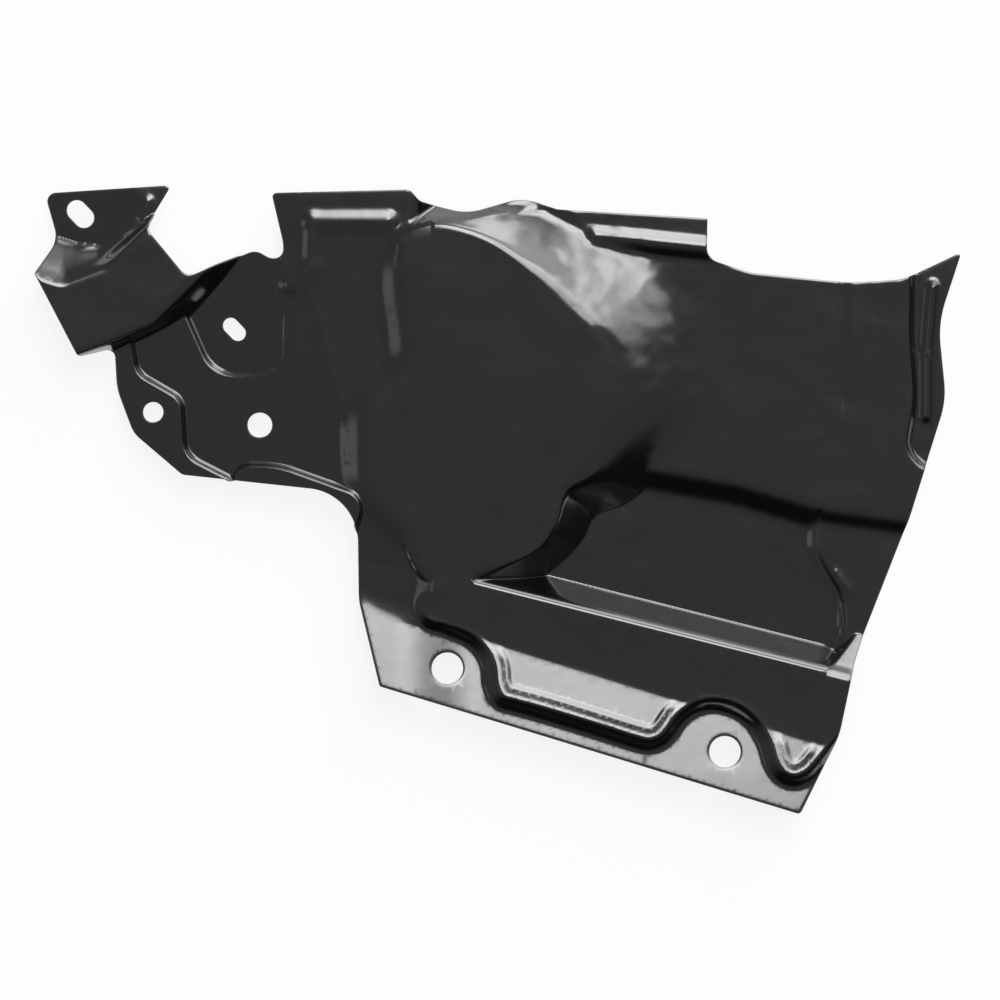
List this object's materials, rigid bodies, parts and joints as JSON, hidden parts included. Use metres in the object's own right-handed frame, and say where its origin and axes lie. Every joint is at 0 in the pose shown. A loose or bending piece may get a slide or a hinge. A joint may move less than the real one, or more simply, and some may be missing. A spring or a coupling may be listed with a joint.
{
  "type": "under engine cover",
  "caption": "Pressed-steel under engine cover in gloss black: a rounded bulge, a sunk pocket, stepped flanges, bolt holes and a raised slotted tab.",
  "frame": {"origin": "middle of the cover's box in plan, at the level that its pocket floor lies on", "axes": "+X along the long way towards the broad curled end, +Y towards the straight upper edge, +Z out of the painted outer side"},
  "size_m": [0.4162, 0.282, 0.0255],
  "materials": {
    "black_paint": "smooth gloss black paint over the whole pressing, edges included"
  },
  "bodies": {
    "root": {"pressed_cover": "black_paint"}
  },
  "joints": []
}
